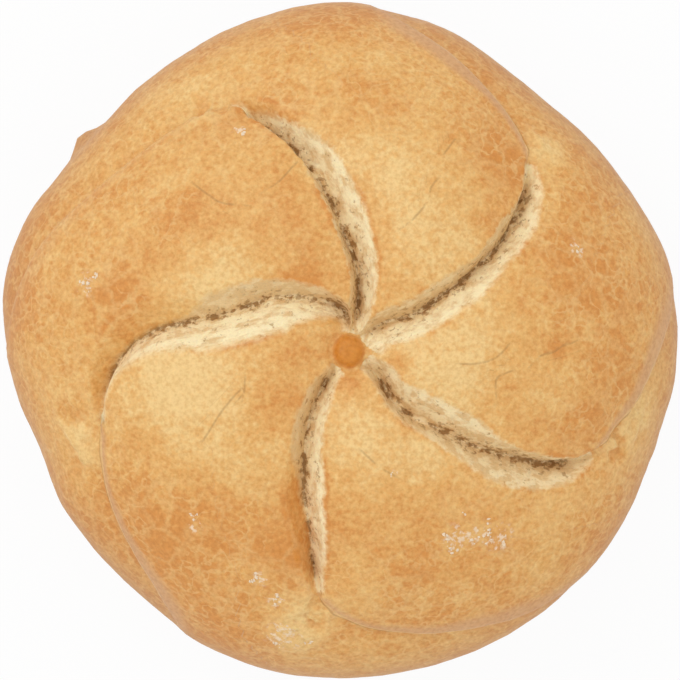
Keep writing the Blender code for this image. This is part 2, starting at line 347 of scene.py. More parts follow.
def hashed(cells, seed):
    """Repeatable numbers from 0 to 1, one for each whole-number cell: its three coordinates are
    multiplied by large odd numbers, mixed by shifts and read as a share of the 32-bit range."""
    x, y, z = (cells[..., axis].astype(np.int64).astype(np.uint32) for axis in range(3))
    mixed = x * np.uint32(374761393) + y * np.uint32(668265263) + z * np.uint32(2246822519)
    mixed = mixed + np.uint32(seed) * np.uint32(3266489917)
    mixed = (mixed ^ (mixed >> np.uint32(15))) * np.uint32(2246822519)
    mixed = (mixed ^ (mixed >> np.uint32(13))) * np.uint32(3266489917)
    mixed = mixed ^ (mixed >> np.uint32(16))
    return mixed / 4294967295.0


def noise(points, size, seed):
    """Smooth noise from -1 to 1: a random number at each corner of a cube of this size, blended
    across the cube by the step t^3 (6 t^2 - 15 t + 10)."""
    scaled = points / size
    low = np.floor(scaled)
    t = scaled - low
    t = t * t * t * (t * (6 * t - 15) + 10)
    total = np.zeros(points.shape[:-1])
    for corner in np.ndindex(2, 2, 2):
        near = np.array(corner)
        share = np.where(near == 1, t, 1 - t).prod(axis=-1)
        total += share * hashed(low + near, seed)
    return 2 * total - 1


def layered_noise(points, size, seed, layers=3):
    """Noise whose layers halve in size and in strength, scaled back to about -1 to 1."""
    total = np.zeros(points.shape[:-1])
    for layer in range(layers):
        total += noise(points, size / 2**layer, seed + layer) / 2**layer
    return total / (2 - 2 ** (1 - layers))


def nearest_seed(points, size, seed):
    """Distance to the nearest of scattered seeds, one in each cube of this size, in cube sizes."""
    scaled = points / size
    low = np.floor(scaled)
    best = np.full(points.shape[:-1], 9.0)
    for step in np.ndindex(3, 3, 3):
        cube = low + np.array(step) - 1
        place = cube + np.stack([hashed(cube, seed + axis) for axis in range(3)], axis=-1)
        best = np.minimum(best, np.linalg.norm(scaled - place, axis=-1))
    return best


def ease(at, start, end):
    """0 before start, 1 after end, and a smooth step between them."""
    t = np.clip((at - start) / (end - start), 0, 1)
    return t * t * (3 - 2 * t)


def smooth_curve(at, knots, values):
    """A smooth curve through (knots, values): cubic pieces whose slope at a knot is that of the
    line between its two neighbours. Past either end the curve stays level."""
    knots, values = np.asarray(knots, float), np.asarray(values, float)
    slopes = np.zeros(len(knots))
    slopes[1:-1] = (values[2:] - values[:-2]) / (knots[2:] - knots[:-2])
    at = np.clip(at, knots[0], knots[-1])
    i = np.clip(np.searchsorted(knots, at, side="right") - 1, 0, len(knots) - 2)
    span = knots[i + 1] - knots[i]
    t = (at - knots[i]) / span
    start = (2 * t**3 - 3 * t**2 + 1) * values[i] + (t**3 - 2 * t**2 + t) * span * slopes[i]
    end = (3 * t**2 - 2 * t**3) * values[i + 1] + (t**3 - t**2) * span * slopes[i + 1]
    return start + end


def turn_between(bearing, other):
    """The turn from other to bearing in degrees, from -180 to 180."""
    return np.mod(bearing - other + 180, 360) - 180


# --- The plain skin -------------------------------------------------------------------------


def outline_radius(bearing):
    """The outline's distance from the middle, as a smooth closed curve over the bearing."""
    bearings, radii = np.array(OUTLINE, float).T
    knots = np.concatenate([bearings - 360, bearings, bearings + 360])
    return smooth_curve(np.mod(bearing, 360), knots, np.tile(radii * MM, 3))


def section():
    """The roll's section from hub to the middle of its base: radius, height and distance down the
    skin. The dome obeys (r/R)^n + (h/H)^2 = 1 above the waist, the underside is a quarter of an
    ellipse in to the base, and the base is flat."""
    angle = np.linspace(0, np.pi / 2, SECTION_STEPS)
    dome_r = WAIST_RADIUS * np.sin(angle) ** (2 / SHOULDER_FULLNESS)
    dome_z = WAIST_HEIGHT + (HEIGHT - WAIST_HEIGHT) * np.cos(angle)
    under_r = BASE_RADIUS + (WAIST_RADIUS - BASE_RADIUS) * np.cos(angle[1:])
    under_z = WAIST_HEIGHT * (1 - np.sin(angle[1:]))
    radius = np.concatenate([dome_r, under_r])
    height = np.concatenate([dome_z, under_z])
    along = np.concatenate([[0], np.cumsum(np.hypot(np.diff(radius), np.diff(height)))])
    return along, radius, height


def plan_position(radius, bearing):
    """Places a ring in plan: the middle of the rings moves from the hub at the top to the
    outline's middle at the waist, and each ring takes on the outline's shape as it grows."""
    share = (radius / WAIST_RADIUS)[..., None]
    turn = np.radians(bearing)
    direction = np.stack([np.cos(turn), np.sin(turn)], axis=-1)
    rim = direction * outline_radius(bearing)[..., None]
    blend = share**2
    round_part = direction * radius[..., None]
    return np.array(HUB_AT) * (1 - share) + round_part * (1 - blend) + rim * share * blend


def skin(along, bearing):
    """Points and outward normals of the plain roll at these distances and bearings."""
    table_s, table_r, table_z = section()
    radius = np.interp(along, table_s, table_r)
    height = np.interp(along, table_s, table_z)
    step = 0.2 * MM
    before, after = np.clip(along - step, 0, None), np.clip(along + step, None, table_s[-1])
    rise = np.interp(after, table_s, table_z) - np.interp(before, table_s, table_z)
    run = np.interp(after, table_s, table_r) - np.interp(before, table_s, table_r)
    turn = np.radians(bearing)
    points = np.concatenate([plan_position(radius, bearing), height[..., None]], axis=-1)
    normals = np.stack([-rise * np.cos(turn), -rise * np.sin(turn), run], axis=-1)
    return points, normals / np.linalg.norm(normals, axis=-1, keepdims=True)


def cut_bearing(name, along):
    """The bearing of a cut's line at a distance from the hub, as a smooth curve."""
    return smooth_curve(along, CUT_STATIONS, CUT_BEARINGS[name])


def distance_to_line(points, line):
    """Distance from each point to a line of points, square to it, and the index of the nearest.
    Where an end is nearest, it is the full distance to that end."""
    squares = (points**2).sum(-1)[:, None] + (line**2).sum(-1) - 2 * points @ line.T
    nearest = squares.argmin(axis=1)
    tangent = np.gradient(line, axis=0)
    tangent /= np.linalg.norm(tangent, axis=1, keepdims=True)
    offset = points - line[nearest]
    lengthwise = (offset * tangent[nearest]).sum(-1)
    inside = (nearest > 0) & (nearest < len(line) - 1)
    offset = offset - np.where(inside, lengthwise, 0)[:, None] * tangent[nearest]
    return np.linalg.norm(offset, axis=1), nearest, tangent


def two_sided(tables, gap, at):
    """Widths from two tables over the distance from the hub: the first where the gap is above 0."""
    return np.where(gap > 0, *(np.interp(at, LIP_STATIONS, table) for table in tables))


def rounded(gap):
    """The size of the gap, with its sharp corner at 0 rounded: sqrt(gap^2 + r^2) - r."""
    return np.sqrt(gap**2 + VALLEY_FLOOR**2) - VALLEY_FLOOR


def distance_to_cut(name, points, along, bearing):
    """Signed distance to the cut's line, above 0 on its anticlockwise side, and how far from the
    hub the nearest point of the line lies."""
    line_s = np.linspace(CUT_LINE_FROM, CUT_LINE_TO, CUT_LINE_POINTS)
    line, _ = skin(line_s, cut_bearing(name, line_s))
    gap, nearest, _ = distance_to_line(points, line)
    side = np.sign(turn_between(bearing, cut_bearing(name, along)))
    return gap * side, line_s[nearest]


# --- Relief and masks -----------------------------------------------------------------------


def spot_field(along, bearing, spots):
    """Sum of soft round spots, each strength x exp(-(distance / radius)^2)."""
    table_s, table_r, _ = section()
    total = np.zeros(along.shape)
    for spot_bearing, distance, radius, strength in spots:
        ring = np.interp(distance * MM, table_s, table_r)
        across = np.radians(turn_between(bearing, spot_bearing)) * ring
        gap = np.hypot(across, along - distance * MM)
        total += strength * np.exp(-((gap / (radius * MM)) ** 2))
    return total


def hairline_fields(points, normals):
    """Signed distance to the nearest hairline crack, held to its reach, and how open it is there.
    A crack is open along its run and closes over its last tenth at either end."""
    signed = np.full(len(points), HAIRLINE_REACH)
    nearest_yet = np.full(len(points), HAIRLINE_REACH)
    openness = np.zeros(len(points))
    for run in HAIRLINES:
        knots = np.linspace(0, 1, len(run))
        t = np.linspace(0, 1, HAIRLINE_POINTS)
        bearings = smooth_curve(t, knots, [place[0] for place in run])
        distances = smooth_curve(t, knots, [place[1] * MM for place in run])
        line, _ = skin(distances, bearings)
        wander = layered_noise(line, 3 * MM, 71)[:, None] * 0.35 * MM
        line = line + wander * np.array([0.7, 0.7, 0.0])
        gap, nearest, tangent = distance_to_line(points, line)
        side = np.cross(tangent[nearest], points - line[nearest])
        side = np.sign((side * normals).sum(-1))
        closer = gap < nearest_yet
        signed[closer] = (gap * side)[closer]
        ends = np.clip(np.minimum(t, 1 - t)[nearest] / 0.12, 0, 1)
        openness[closer] = ends[closer]
        nearest_yet = np.minimum(nearest_yet, gap)
    return signed, openness


def cut_fields(points, along, bearing, sizes):
    """What the five cuts do at each point, as arrays by name.

    An open cut is a valley whose walls follow (1 - d/w)^p between its line and its lip, and the
    deepest wins where two meet. A narrow fissure, exp(-(d/f)^2), runs along its bottom and comes and
    goes. The crust sinks towards each lip as exp(-d/reach), so the petals between swell. Past a
    cut's end, a step of tanh(d/edge) lays one petal over the next. Distances to lips, crumb and
    seam are those of the nearest cut."""
    count = len(points)
    ragged = 0.32 * MM * layered_noise(points, 2.4 * MM, 11) + 0.15 * MM * noise(points, 0.8 * MM, 12)
    wander = 0.8 * MM * layered_noise(points, 3.4 * MM, 21, 4)
    patchy = layered_noise(points, 2.6 * MM, 31, 2)
    hub_clear = 3 * MM * (1 - ease(along, 1.0 * HUB_RADIUS, 1.35 * HUB_RADIUS))
    valley, swell, seam, fissure = (np.zeros(count) for _ in range(4))
    tan_and_shade_share, cut_along, cut_across, seam_show = (np.zeros(count) for _ in range(4))
    lip_gap, crumb_gap, tear_gap, seam_gap = (np.full(count, FAR_FROM_CUTS) for _ in range(4))
    softness = np.full(count, 0.5)
    for name in CUT_BEARINGS:
        gap, at = distance_to_cut(name, points, along, bearing)
        closing_from, closing_to = (distance * MM for distance in CLOSING[name])
        closed = ease(at, closing_from, closing_to)
        open_share = ease(at, OPEN_FROM, OPEN_TO) * (1 - closed)
        shut_clear = (1 - ease(open_share, 0, 0.25)) * 4 * MM

        # The valley, and the crust's lips and swell beside it.
        widths = two_sided(LIP_WIDTHS[name], gap, at) * MM + ragged
        inside = np.clip(1 - rounded(gap) / rounded(np.maximum(widths, 0.1 * MM)), 0, 1)
        valley = np.maximum(valley, sizes.valley_depth * open_share * inside**VALLEY_ROUNDING)
        beyond = np.abs(gap) - widths
        lip_gap = np.minimum(lip_gap, beyond + shut_clear + hub_clear)
        swollen = sizes.petal_swell * (1 - ease(at, SWELL_FADES_FROM, SWELL_FADES_TO))
        swell = np.maximum(swell, swollen * np.exp(-np.clip(beyond, 0, None) / SWELL_REACH))

        # The torn crumb inside it.
        reach = two_sided(CRUMB_WIDTHS[name], gap, at) * MM + ragged
        torn_here = np.abs(gap) - reach + shut_clear + hub_clear
        closer = torn_here < crumb_gap
        crumb_gap = np.where(closer, torn_here, crumb_gap)
        softness = np.where(closer, np.where(gap > 0, *CRUMB_SOFTNESS[name]), softness)
        # Painted shade: tan crumb on the wall of each cut that faces away from the light, as the table
        # gives.
        wall_shade_here = np.where(gap > 0, *WALL_SHADE_TAN[name]) * ease(np.abs(gap), 0, 0.6 * MM)
        tan_and_shade_share = np.where(closer, wall_shade_here, tan_and_shade_share)
        cut_along = np.where(closer, at, cut_along)
        cut_across = np.where(closer, gap, cut_across)

        # The fissure at its bottom.
        tear = np.abs(gap + wander * open_share)
        cover = TEAR_COVER[name] * ease(at, TEAR_COVER_FROM, TEAR_COVER_TO)
        strength = open_share * ease(patchy + cover, -0.40, 0.20)
        fissure = np.maximum(fissure, strength * np.exp(-((tear / FISSURE_WIDTH) ** 2)))
        held_off = (1 - strength) * 0.6 * MM + (1 - open_share) * 2 * MM + hub_clear
        tear_gap = np.minimum(tear_gap, tear + held_off)

        # The seam past its end.
        shut = closed * (1 - ease(at, SEAM_FADES_FROM, SEAM_FADES_TO))
        lapped = np.tanh(gap / SEAM_EDGE) * sizes.seam_step / 2
        seam += lapped * shut * np.exp(-np.abs(gap) / SEAM_REACH)
        seam_here = gap + np.sign(gap) * (1 - shut) * 6 * MM
        closer = np.abs(seam_here) < np.abs(seam_gap)
        seam_gap = np.where(closer, seam_here, seam_gap)
        seam_show = np.where(closer, SEAM_SHOW[name] * shut, seam_show)
    relief_parts = {"valley": valley, "swell": swell, "seam": seam, "fissure": fissure}
    masks = {
        "lip_gap": lip_gap / MM,
        "crumb_gap": crumb_gap / MM,
        "crumb_soft": softness,
        "crumb_tan_and_wall_shade": tan_and_shade_share,
        "cut_along": cut_along / MM,
        "cut_across": cut_across / MM,
        "tear_gap": tear_gap / MM,
        "seam_gap": np.clip(seam_gap / MM, -8, 8),
        "seam_show": seam_show,
    }
    return relief_parts, masks, crumb_gap, softness


def torn_depth(points, crumb, crumb_gap, sizes):
    """How far the torn crumb lies below the crust: pits where scattered seeds are near, a low
    unevenness, the crust's own thickness, and the crust's lip raised as exp(-(d/lip)^2) beside it."""
    pores = ease(nearest_seed(points, 1.25 * MM, 41), 0.42, 0.12)
    pores = pores * ease(noise(points, 3 * MM, 45), -0.5, 0.3)
    fine_pores = ease(nearest_seed(points, 0.75 * MM, 51), 0.45, 0.1)
    uneven = 0.14 * MM * layered_noise(points, 1.0 * MM, 55, 2)
    torn = crumb * (sizes.pit_depth * (pores + 0.45 * fine_pores) + uneven)
    raised_lip = 0.10 * MM * np.exp(-((crumb_gap / (0.7 * MM)) ** 2)) * (1 - crumb)
    return torn + (sizes.crust_thickness * crumb - raised_lip)


def crust_lumps(points, sizes):
    """Broad lumps, smaller dents and a fine unevenness, as noise of three sizes."""
    lumps = sizes.lump_height * (layered_noise(points, 15 * MM, 61) - 0.4)
    return lumps + 0.11 * MM * layered_noise(points, 4.5 * MM, 65) + 0.035 * MM * noise(points, 1.3 * MM, 68)


def crumpled_folds(points, along, bearing, crumb):
    """Where the crust is crumpled, how each fold stands there, and the folds' height. A fold is
    1 - k |noise|, so that it has a sharp crest where the noise is 0."""
    crease = np.clip(spot_field(along, bearing, CRUMPLED_SPOTS), 0, 1) * (1 - crumb)
    fold = 1 - np.abs(layered_noise(points, 3.4 * MM, 75, 3)) * 3.0
    return crease, fold, crease * FOLD_HEIGHT * np.clip(fold, -0.6, 1)


def hub_and_knob(along, bearing, sizes):
    """The dip round the hub, exp(-(s/r)^2), the hub's raised button with a groove round it, and
    the knob on the outline. Also the distance from the hub in hub radii, a little out of round."""
    dip = sizes.dip_depth * np.exp(-((along / DIP_RADIUS) ** 2))
    turn = np.radians(bearing)
    around = np.stack([np.cos(turn), np.sin(turn), 0 * bearing], -1)
    hub_at = along / (HUB_RADIUS * (1.08 + 0.08 * noise(around, 0.8, 81)))
    button = sizes.hub_rise * (1 - ease(hub_at, 0.55, 1.05))
    groove = HUB_GROOVE * np.exp(-(((hub_at - 1.22) / 0.25) ** 2))
    across = np.radians(turn_between(bearing, KNOB_BEARING)) * WAIST_RADIUS
    knob_gap = np.hypot(across, along - KNOB_FROM_HUB)
    knob = KNOB_RISE * np.exp(-((knob_gap / KNOB_RADIUS) ** 2))
    return -dip + button - groove + knob, hub_at


def relief(points, normals, along, bearing, sizes):
    """How far the surface stands out from the plain skin, and the masks that the materials read:
    the cuts, the torn crumb, the hub, the lumps and folds of the crust, and its hairline cracks,
    all added up."""
    cuts, masks, crumb_gap, softness = cut_fields(points, along, bearing, sizes)
    crumb = ease(crumb_gap, 0.5 * softness * MM, -0.5 * softness * MM)
    crease, fold, folds = crumpled_folds(points, along, bearing, crumb)
    middle, hub_at = hub_and_knob(along, bearing, sizes)
    hair_gap, hair_open = hairline_fields(points, normals)
    hair = HAIRLINE_DEPTH * hair_open * np.exp(-((hair_gap / (0.25 * MM)) ** 2)) * (1 - crumb)
    away = ease(along, 0.9 * HUB_RADIUS, 1.5 * HUB_RADIUS)
    opened = cuts["valley"] + sizes.fissure_depth * cuts["fissure"]
    opened = opened + torn_depth(points, crumb, crumb_gap, sizes)
    height = cuts["seam"] - cuts["swell"] + middle - hair - away * opened
    height = height + crust_lumps(points, sizes) + folds
    browned = 0.5 + spot_field(along, bearing, BROWNED_SPOTS) - spot_field(along, bearing, PALE_SPOTS)
    browned += OUTER_BROWNING * ease(along, 24 * MM, 48 * MM)
    dusted = [(bearing_at, at, 1.3 * spread, 1) for bearing_at, at, spread, _ in FLOUR_CLUSTERS]
    masks.update({
        "browned": browned,
        "hub_at": hub_at,
        "floury": spot_field(along, bearing, dusted),
        "from_hub": along / MM,
        "hair_gap": hair_gap / MM,
        "hair_open": hair_open,
        "crease": crease,
        "fold": fold,
    })
    return height, masks


# --- The grid -------------------------------------------------------------------------------


def ring_distances():
    """Distances down the skin of the rings, in steps that widen from the top to the underside."""
    base_edge = section()[0][-1]
    rings = [FIRST_RING]
    for end, step in RING_STEPS:
        stop = min(end, base_edge)
        steps = max(int(round((stop - rings[-1]) / step)), 1)
        rings.extend(np.linspace(rings[-1], stop, steps + 1)[1:])
    return np.array(rings)


def column_bearings(rings):
    """Bearings of the columns at each ring. Columns run from cut to cut and crowd towards the cuts
    as u - b sin(2 pi u) / (2 pi), and past the cuts' ends they run straight down."""
    held = np.minimum(rings, FOLLOW_UP_TO)
    cuts = np.stack([cut_bearing(name, held) for name in CUT_BEARINGS], axis=1)
    ends = np.concatenate([cuts[:, 1:], cuts[:, :1] + 360], axis=1)
    share = np.arange(COLUMNS_PER_PETAL) / COLUMNS_PER_PETAL
    share = share - BUNCHING * np.sin(2 * np.pi * share) / (2 * np.pi)
    return (cuts[..., None] + (ends - cuts)[..., None] * share).reshape(len(rings), -1)


def fit_to_box(points):
    """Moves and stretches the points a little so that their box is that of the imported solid."""
    low, high = (np.array(corner) for corner in CAD_BOUNDS)
    own_low, own_high = points.min(axis=0), points.max(axis=0)
    return low + (points - own_low) * (high - low) / (own_high - own_low)


def grid_faces(rings, columns):
    """Quads between rings of points numbered ring by ring, then a fan at the first and last ring."""
    ring, column = np.meshgrid(np.arange(rings - 1), np.arange(columns), indexing="ij")
    beside = (column + 1) % columns
    quads = np.stack(
        [ring * columns + column, (ring + 1) * columns + column,
         (ring + 1) * columns + beside, ring * columns + beside], axis=-1).reshape(-1, 4)
    round_it = np.arange(columns)
    beside = (round_it + 1) % columns
    top, bottom = rings * columns, rings * columns + 1
    last = (rings - 1) * columns
    top_fan = np.stack([np.full(columns, top), round_it, beside], axis=-1)
    bottom_fan = np.stack([np.full(columns, bottom), last + beside, last + round_it], axis=-1)
    return quads.tolist() + top_fan.tolist() + bottom_fan.tolist()


def base_disc(edge, rings):
    """Rings of points that close the flat base, from its edge in to the middle. The flat has faint
    dimples, up to 0.15 mm deep."""
    middle = edge.mean(axis=0)
    shares = np.linspace(1, 0.03, rings + 1)[1:]
    points = middle + (edge - middle) * shares[:, None, None]
    dimples = 0.15 * MM * ease(layered_noise(points, 3.5 * MM, 91), -0.1, 0.8)
    points[..., 2] += dimples * ease(shares, 1.0, 0.85)[:, None]
    return points, middle


def roll_surface(sizes):
    """All points of the roll, ring by ring, then its two poles, with the masks at each point."""
    rings = ring_distances()
    bearing = column_bearings(rings)
    along = np.repeat(rings[:, None], bearing.shape[1], axis=1)
    points, normals = skin(along, bearing)
    shape = along.shape
    height, masks = relief(
        points.reshape(-1, 3), normals.reshape(-1, 3), along.ravel(), bearing.ravel(), sizes)
    flat_share = ease(along, rings[-1] - 4 * MM, rings[-1])
    points = points + normals * (height.reshape(shape) * (1 - flat_share))[..., None]
    points[-1, :, 2] = 0
    disc, middle = base_disc(points[-1], BASE_RINGS)
    crown = points[0].mean(axis=0)
    everything = np.concatenate([points.reshape(-1, 3), disc.reshape(-1, 3), [crown, middle]])
    padded = {}
    for name, values in masks.items():
        values = values.reshape(shape)
        under = np.repeat(values[-1:], BASE_RINGS, axis=0)
        padded[name] = np.concatenate([values.ravel(), under.ravel(), [values[0].mean(), values[-1].mean()]])
    return everything, padded, shape[0] + BASE_RINGS, shape[1]


def mesh_object(name, points, faces, masks=None):
    """A smooth-shaded mesh object at the origin, with one number per point for each mask."""
    mesh = bpy.data.meshes.new(name)
    mesh.from_pydata(points.tolist(), [], faces)
    for mask, values in (masks or {}).items():
        layer = mesh.attributes.new(mask, "FLOAT", "POINT")
        layer.data.foreach_set("value", values.astype(np.float32))
    mesh.shade_smooth()
    mesh.update()
    made = bpy.data.objects.new(name, mesh)
    bpy.context.scene.collection.objects.link(made)
    return made


# --- Shader building ------------------------------------------------------------------------


class Graph:
    """Adds nodes to one tree. An input may be a number, a colour, a vector or another socket."""

    def __init__(self, tree):
        self.tree = tree

    def put(self, socket, value):
        """Links or sets one input. A colour of three numbers is given a full fourth one."""
        if isinstance(value, bpy.types.NodeSocket):
            self.tree.links.new(value, socket)
        elif isinstance(value, (int, float)):
            socket.default_value = value
        else:
            values = tuple(value)
            missing = len(socket.default_value) - len(values)
            socket.default_value = values + (1.0,) * missing

    def node(self, kind, **settings):
        """A new node with these settings."""
        made = self.tree.nodes.new(kind)
        for key, value in settings.items():
            setattr(made, key, value)
        return made

    def math(self, operation, *values, clamp=False):
        """The result of one Math node."""
        made = self.node("ShaderNodeMath", operation=operation, use_clamp=clamp)
        for socket, value in zip(made.inputs, values):
            self.put(socket, value)
        return made.outputs[0]

    def product(self, first, *others):
        """Masks and numbers multiplied together."""
        for other in others:
            first = self.math("MULTIPLY", first, other)
        return first

    def away_from(self, value, middle):
        """How far the value lies from a middle value, either way."""
        return self.math("ABSOLUTE", self.math("SUBTRACT", value, middle))

    def varied(self, value, noise, amount):
        """The value plus amount x (noise - 0.5)."""
        return self.math("MULTIPLY_ADD", self.math("SUBTRACT", noise, 0.5), amount, value)

    def mix(self, share, low, high, blend="MIX"):
        """A colour that goes from low to high as share goes from 0 to 1."""
        made = self.node("ShaderNodeMix", data_type="RGBA", blend_type=blend, clamp_factor=True)
        self.put(made.inputs["Factor"], share)
        self.put(made.inputs[6], low)
        self.put(made.inputs[7], high)
        return made.outputs[2]

    def over(self, under, mask, colour, strength):
        """One colour laid over another where the mask is 1, at this strength."""
        return self.mix(self.math("MULTIPLY", mask, strength), under, colour)

    def step(self, value, start, end, low=0.0, high=1.0):
        """A smooth step of value from low at start to high at end."""
        made = self.node("ShaderNodeMapRange", interpolation_type="SMOOTHSTEP")
        for socket, item in zip(made.inputs, (value, start, end, low, high)):
            self.put(socket, item)
        return made.outputs[0]

    def coordinates(self):
        """The place on the object."""
        return self.node("ShaderNodeTexCoord").outputs["Object"]

    def attribute(self, name):
        """A mask that the mesh carries."""
        return self.node("ShaderNodeAttribute", attribute_name=name).outputs["Fac"]

    def noise(self, place, size, detail=2.0, roughness=0.5):
        """Noise about 0.5 whose features are about this many metres across."""
        made = self.node("ShaderNodeTexNoise")
        self.put(made.inputs["Vector"], place)
        self.put(made.inputs["Scale"], 1 / size)
        self.put(made.inputs["Detail"], detail)
        self.put(made.inputs["Roughness"], roughness)
        return made

    def cell_edges(self, place, size):
        """Distance to the nearest edge between cells about this many metres across."""
        made = self.node("ShaderNodeTexVoronoi", feature="DISTANCE_TO_EDGE")
        self.put(made.inputs["Vector"], place)
        self.put(made.inputs["Scale"], 1 / size)
        return made.outputs["Distance"]

    def shifted(self, place, size, amount):
        """The place moved about by noise of this size, by up to about half of amount."""
        wobble = self.noise(place, size, detail=2.0).outputs["Color"]
        centred = self.node("ShaderNodeVectorMath", operation="SUBTRACT")
        self.put(centred.inputs[0], wobble)
        self.put(centred.inputs[1], (0.5, 0.5, 0.5))
        scaled = self.node("ShaderNodeVectorMath", operation="MULTIPLY_ADD")
        self.put(scaled.inputs[0], centred.outputs[0])
        self.put(scaled.inputs[1], (amount, amount, amount))
        self.put(scaled.inputs[2], place)
        return scaled.outputs[0]


def new_group(name, inputs, outputs):
    """An empty node group with these named sockets: (graph, its input sockets, its output node)."""
    tree = bpy.data.node_groups.new(name, "ShaderNodeTree")
    for label, kind in inputs:
        tree.interface.new_socket(name=label, in_out="INPUT", socket_type=kind)
    for label, kind in outputs:
        tree.interface.new_socket(name=label, in_out="OUTPUT", socket_type=kind)
    graph = Graph(tree)
    return graph, graph.node("NodeGroupInput").outputs, graph.node("NodeGroupOutput").inputs


def place_group(graph, group, **values):
    """Places a group and sets its inputs, whose names have spaces where the keywords have _."""
    made = graph.node("ShaderNodeGroup", node_tree=group)
    for key, value in values.items():
        graph.put(made.inputs[key.replace("_", " ")], value)
    return made.outputs


def grain_group():
    """Fine unevenness that crust, crumb and flour share: a tone that varies about 1, and a height."""
    graph, inputs, outputs = new_group(
        "Baked grain",
        [("Place", "NodeSocketVector"), ("Size", "NodeSocketFloat"), ("Tone change", "NodeSocketFloat")],
        [("Tone", "NodeSocketFloat"), ("Height", "NodeSocketFloat")])
    scale = graph.math("DIVIDE", 1.0, inputs["Size"])
    made = graph.node("ShaderNodeTexNoise")
    graph.put(made.inputs["Vector"], inputs["Place"])
    graph.put(made.inputs["Scale"], scale)
    graph.put(made.inputs["Detail"], 3.0)
    graph.put(made.inputs["Roughness"], 0.6)
    fac = made.outputs["Fac"]
    centred = graph.math("SUBTRACT", fac, 0.5)
    graph.put(outputs["Tone"], graph.math("MULTIPLY_ADD", centred, inputs["Tone change"], 1.0))
    graph.put(outputs["Height"], fac)
    return graph.tree


def craze_group():
    """A net of fine lines, as where a crust has crazed: 1 on a line, 0 off it."""
    graph, inputs, outputs = new_group(
        "Crazing",
        [("Place", "NodeSocketVector"), ("Width", "NodeSocketFloat"), ("Cover", "NodeSocketFloat")],
        [("Line", "NodeSocketFloat")])
    moved = graph.shifted(inputs["Place"], 2.5 * MM, 2.4 * MM)
    moved = graph.shifted(moved, 0.9 * MM, 0.7 * MM)
    edge = graph.cell_edges(moved, 4.2 * MM)
    line = graph.step(edge, inputs["Width"], 0.0)
    patches = graph.noise(inputs["Place"], 9 * MM, detail=2.0).outputs["Fac"]
    held = graph.step(graph.math("ADD", patches, inputs["Cover"]), 0.95, 1.15)
    graph.put(outputs["Line"], graph.math("MULTIPLY", line, held))
    return graph.tree


def tone(graph, colour, amount):
    """The colour times a number."""
    made = graph.node("ShaderNodeVectorMath", operation="SCALE")
    graph.put(made.inputs[0], colour)
    graph.put(made.inputs["Scale"], amount)
    return made.outputs[0]


def crust_patterns(graph):
    """What several layers of the crust share: the place, the height, the distance from the hub and
    noise of three sizes."""
    place = graph.coordinates()
    split = graph.node("ShaderNodeSeparateXYZ")
    graph.put(split.inputs[0], place)
    return SimpleNamespace(
        place=place,
        height=split.outputs["Z"],
        from_hub=graph.attribute("from_hub"),
        broad=graph.noise(place, 11 * MM, detail=3.0, roughness=0.55).outputs["Fac"],
        mottle=graph.noise(place, 3.2 * MM, detail=4.0, roughness=0.65).outputs["Fac"],
        freckle=graph.noise(place, 0.9 * MM, detail=3.0, roughness=0.6).outputs["Fac"],
    )


def browned_crust(graph, colours, shared):
    """The crust's colour, from pale through gold and brown to dark. How far along that run it is
    adds up the mesh's browning, noise of three sizes, patches of toasted lip and the hub."""
    lip_edge = graph.step(graph.away_from(graph.attribute("lip_gap"), 0.35), 0.65, 0.0)
    toasted = graph.product(lip_edge, graph.step(shared.broad, 0.46, 0.62))
    hub = graph.step(graph.attribute("hub_at"), 1.15, 0.8)
    browned = graph.math("SUBTRACT", graph.attribute("browned"), 1.435)
    parts = (
        (shared.broad, 1.0), (shared.mottle, 0.65), (shared.freckle, 1.2), (toasted, 0.42), (hub, 1.1),
    )  # fmt: skip
    for part, share in parts:
        browned = graph.math("MULTIPLY_ADD", part, share, browned)
    crust = graph.mix(graph.step(browned, -0.05, 0.5), colours.crust_pale, colours.crust_gold)
    crust = graph.mix(graph.step(browned, 0.35, 1.0), crust, colours.crust_brown)
    return graph.mix(graph.step(browned, 1.0, 1.7), crust, colours.crust_dark)


def with_flank_shade(graph, colours, shared, crust):
    """Painted shade: the flanks turn darker and duller towards the bottom. The underside has its own darker
    colour.
    """
    low = graph.step(shared.height, 36 * MM, 21 * MM)
    crust = graph.over(crust, low, colours.flank_shade, 0.85)
    return graph.mix(graph.step(shared.height, 3 * MM, 0.2 * MM), crust, colours.base)


def with_crazing(graph, colours, shared, crust, craze):
    """Crazing and pale wrinkles, which cover more of the roll further out and are fainter low on
    the flanks. Also gives the mask of the crazing."""
    cover = graph.step(shared.from_hub, 10.0, 50.0, 0.40, 0.72)
    crazed = place_group(graph, craze, Place=shared.place, Width=0.15, Cover=cover)["Line"]
    paleness = graph.step(shared.height, 12 * MM, 36 * MM, 0.12, 0.75)
    pale_line = graph.mix(paleness, crust, colours.crust_pale)
    crust = graph.over(crust, crazed, pale_line, 0.34)
    moved = graph.shifted(shared.place, 1.2 * MM, 1.0 * MM)
    wrinkle = graph.noise(moved, 2.6 * MM, detail=1.5).outputs["Fac"]
    wrinkle = graph.step(graph.away_from(wrinkle, 0.5), 0.045, 0.008)
    patches = graph.noise(shared.place, 6 * MM).outputs["Fac"]
    held = graph.step(graph.math("ADD", patches, cover), 0.98, 1.22)
    return graph.over(crust, graph.product(wrinkle, held), pale_line, 0.5), crazed


def with_folds(graph, colours, crust):
    """Crumpled crust past the cuts' ends: pale folds, with painted shade in the furrows between them."""
    crease, fold = graph.attribute("crease"), graph.attribute("fold")
    # Painted shade in the furrows between the folds.
    furrow_shade = graph.product(graph.step(fold, 0.05, -0.5), crease)
    crust = graph.over(crust, furrow_shade, colours.crust_brown, 0.55)
    crest = graph.product(graph.step(fold, 0.1, 0.7), crease)
    return graph.over(crust, crest, colours.crust_pale, 0.75)


